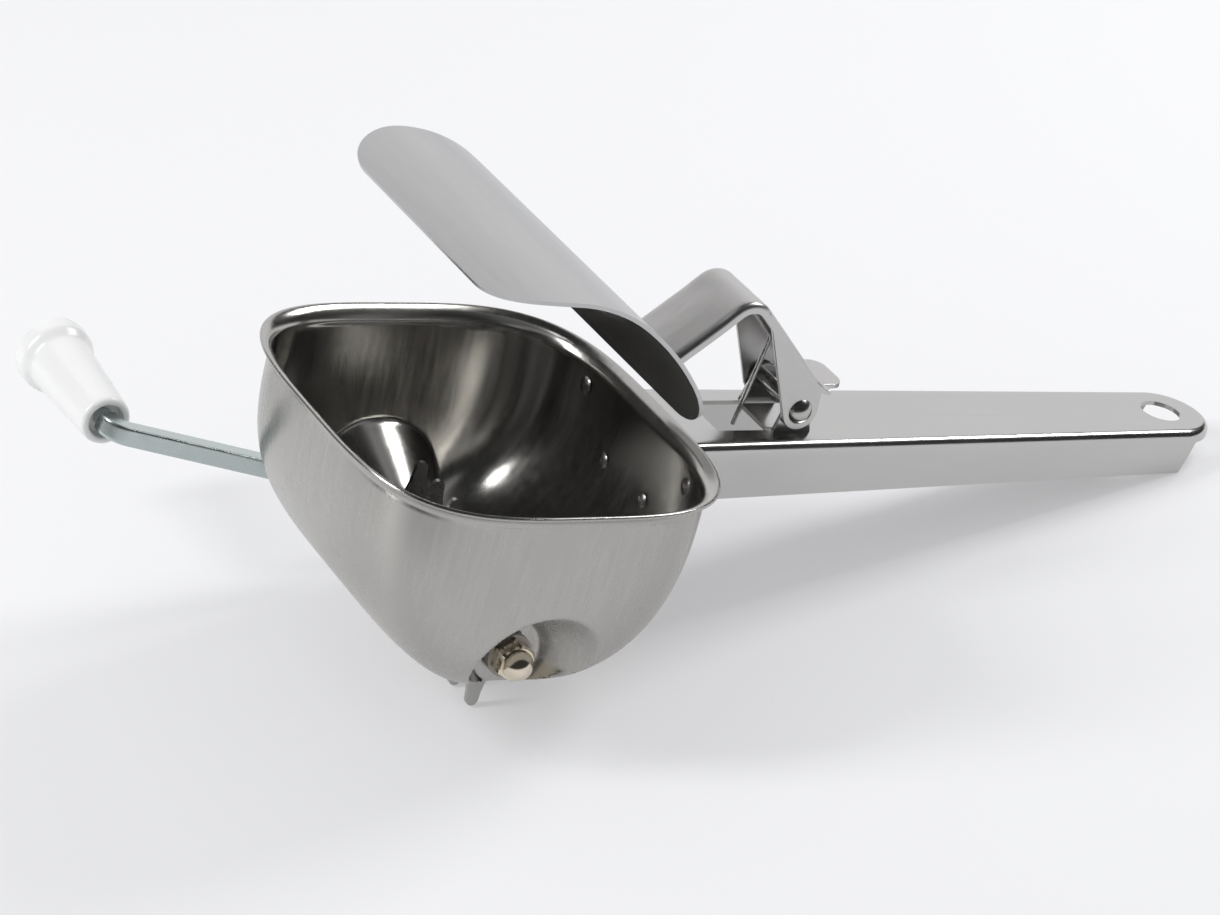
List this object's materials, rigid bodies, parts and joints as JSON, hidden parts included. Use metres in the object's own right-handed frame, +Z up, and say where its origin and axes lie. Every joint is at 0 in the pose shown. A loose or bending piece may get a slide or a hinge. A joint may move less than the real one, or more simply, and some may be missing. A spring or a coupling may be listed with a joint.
{
  "type": "herb mill",
  "caption": "Hand-cranked herb mill: sheet-steel hopper with slotted bottom over a rotor of toothed blades, sprung hinged pusher, channel handle and side crank with a plastic grip.",
  "frame": {"origin": "bottom centre of the box around the mill as it lies on a table", "axes": "+X towards the handle's end, +Y along the shaft towards the crank, +Z up from the table"},
  "size_m": [0.2296, 0.1294, 0.0965],
  "materials": {
    "hopper_steel": "satin bright drawn sheet with fine brushing",
    "handle_steel": "bright pressed sheet",
    "plate_steel": "satin sheet",
    "arm_steel": "bright sheet",
    "rivet_steel": "bright rivets",
    "blade_steel": "cold-rolled sheet",
    "shaft_parts": "turned steel",
    "spring_steel": "drawn wire",
    "bush_metal": "sintered metal, dull",
    "zinc_plate": "pale zinc plating",
    "nickel": "bright nickel plating",
    "grip_plastic": "glossy white moulding"
  },
  "bodies": {
    "frame": {"hopper": "hopper_steel", "handle": "handle_steel", "handle_rivets": "rivet_steel", "front_bush": "bush_metal", "rear_bush": "bush_metal", "hinge_pin": "rivet_steel", "return_spring": "spring_steel"},
    "rotor": {"crank": "zinc_plate", "front_collar": "shaft_parts", "rear_collar": "shaft_parts", "nut_washer": "nickel", "acorn_nut": "nickel", "grip_keeper": "zinc_plate", "blade_1": "blade_steel", "blade_2": "blade_steel", "blade_3": "blade_steel", "blade_4": "blade_steel", "blade_5": "blade_steel", "blade_6": "blade_steel", "spacer_1": "shaft_parts", "spacer_2": "shaft_parts", "spacer_3": "shaft_parts", "spacer_4": "shaft_parts", "spacer_5": "shaft_parts"},
    "grip": {"grip": "grip_plastic"},
    "pusher": {"pusher_plate": "plate_steel", "pusher_arm": "arm_steel", "pusher_rivets": "rivet_steel"}
  },
  "joints": [
    {"name": "crank_turn", "type": "hinge", "parent": "frame", "child": "rotor", "pos_m": [-0.05954, -0.02105, 0.0157], "axis": [0, 1, 0], "continuous": true},
    {"name": "grip_spin", "type": "hinge", "parent": "rotor", "child": "grip", "pos_m": [-0.10715, 0.03895, 0.03586], "axis": [0, 1, 0], "continuous": true},
    {"name": "pusher_press", "type": "hinge", "parent": "frame", "child": "pusher", "pos_m": [0.01266, -0.02105, 0.03916], "axis": [0, -1, 0], "range_deg": [0, 28], "stiffness_Nm_per_rad": 0.1, "springref_deg": -28.65, "deforming": ["return_spring"]}
  ]
}
